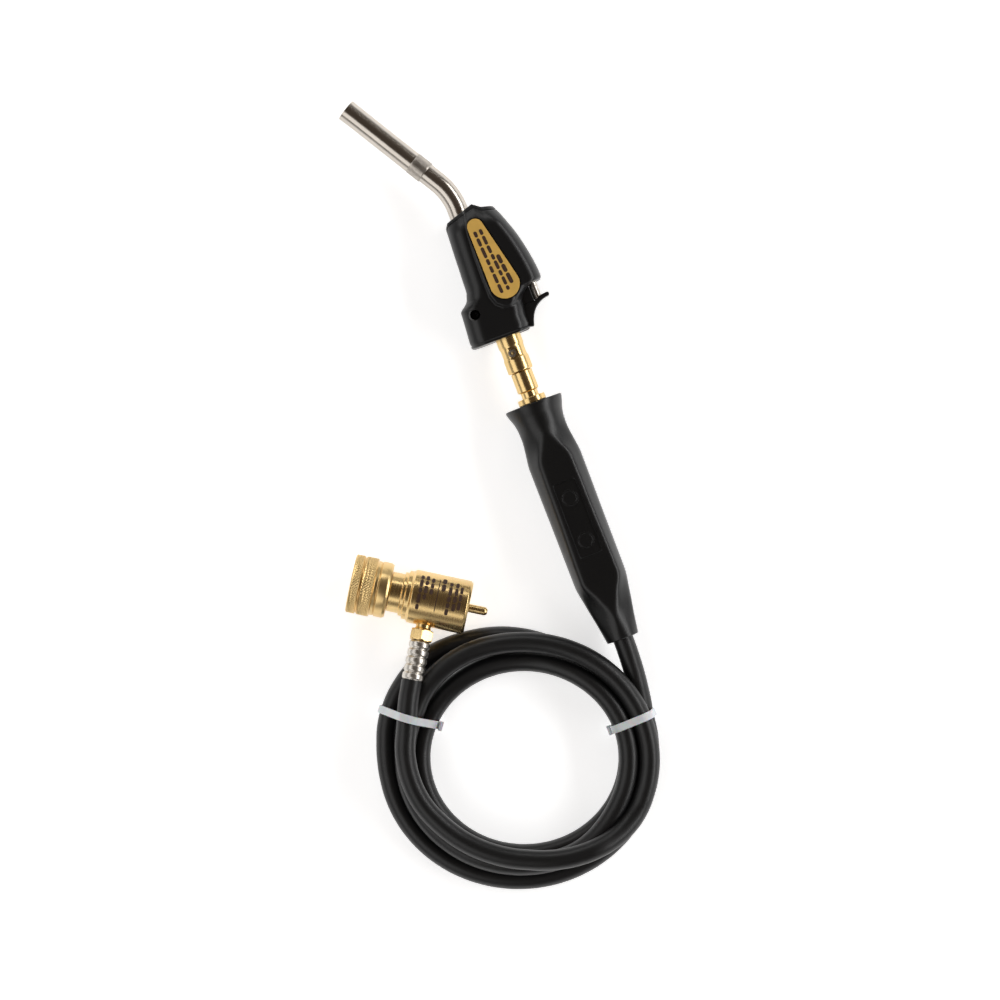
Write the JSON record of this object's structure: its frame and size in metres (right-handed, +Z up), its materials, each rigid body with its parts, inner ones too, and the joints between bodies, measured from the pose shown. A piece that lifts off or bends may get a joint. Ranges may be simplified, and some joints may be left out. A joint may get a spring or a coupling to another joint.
{
  "type": "propane torch",
  "caption": "Hand torch with a bent burner tube, trigger-start head on a swivel, slim grip, coiled gas hose and a brass cylinder regulator.",
  "frame": {"origin": "middle of the ground under the torch and regulator, without the hose", "axes": "+Y along the torch from grip to nozzle, +X towards the trigger's side, +Z up from the ground the torch lies on"},
  "size_m": [0.1868, 0.4518, 0.0334],
  "materials": {
    "casing_black": "satin, moulded",
    "grip_black": "satin, soft touch",
    "hose_rubber": "matt, extruded",
    "nylon": "translucent",
    "brass": "turned and polished",
    "steel": "drawn, bright",
    "nickel": "plated",
    "seal_rubber": "matt",
    "label_gold": "satin foil",
    "ceramic": "glazed",
    "lead_red": "insulated lead",
    "piezo_brown": "moulded"
  },
  "bodies": {
    "handle": {"grip": "grip_black", "swivel_barrel": "brass", "barrel_flange": "brass", "swivel_o_ring_upper": "seal_rubber", "swivel_o_ring_lower": "seal_rubber", "handle_gas_tube": "brass", "handle_hose_ferrule": "nickel", "hose_handle_tail": "hose_rubber", "hose_coil": "hose_rubber", "hose_regulator_tail": "hose_rubber", "cable_tie_right": "nylon", "cable_tie_left": "nylon", "regulator_hose_ferrule": "nickel", "outlet_fitting": "brass", "regulator_body": "brass", "inlet_stem": "brass", "inlet_seal": "seal_rubber", "depressor_pin": "steel", "inlet_filter": "nickel", "diaphragm": "seal_rubber", "spring_seat": "steel", "regulator_spring": "steel", "spindle_guide": "brass", "spindle_o_ring": "seal_rubber"},
    "head": {"casing_front": "casing_black", "casing_back": "casing_black", "casing_screw_front": "steel", "casing_screw_back_lower": "steel", "casing_screw_back_upper": "steel", "label_plate": "label_gold", "swivel_sleeve": "brass", "swivel_set_screw": "steel", "valve_body": "brass", "valve_seal": "seal_rubber", "gas_jet": "brass", "mixer_tube": "brass", "bent_tube": "steel", "flame_tube": "steel", "flame_holder": "steel", "spark_electrode": "steel", "electrode_insulator": "ceramic", "ignition_lead": "lead_red", "piezo_case": "piezo_brown", "trigger_spring": "steel"},
    "trigger": {"trigger": "casing_black", "trigger_push_rod": "nickel", "piezo_plunger": "nylon", "valve_stem": "brass"},
    "coupling_nut": {"coupling_nut": "brass"},
    "spindle": {"adjusting_spindle": "brass"}
  },
  "joints": [
    {"name": "head_swivel", "type": "hinge", "parent": "handle", "child": "head", "pos_m": [0.05492, 0.00346, 0.0167], "axis": [0, 1, 0], "continuous": true},
    {"name": "trigger_pull", "type": "slide", "parent": "head", "child": "trigger", "axis": [0, 1, 0], "range_m": [0, 0.006], "stiffness_N_per_m": 1500, "springref_m": -0.002, "deforming": ["trigger_spring"]},
    {"name": "nut_turn", "type": "hinge", "parent": "handle", "child": "coupling_nut", "pos_m": [-0.06789, -0.08967, 0.0167], "axis": [0.8395, -0.5433, 0], "continuous": true},
    {"name": "spindle_turn", "type": "hinge", "parent": "handle", "child": "spindle", "pos_m": [-0.01752, -0.12227, 0.0167], "axis": [0.8395, -0.5433, 0], "range_deg": [0, 270]}
  ]
}
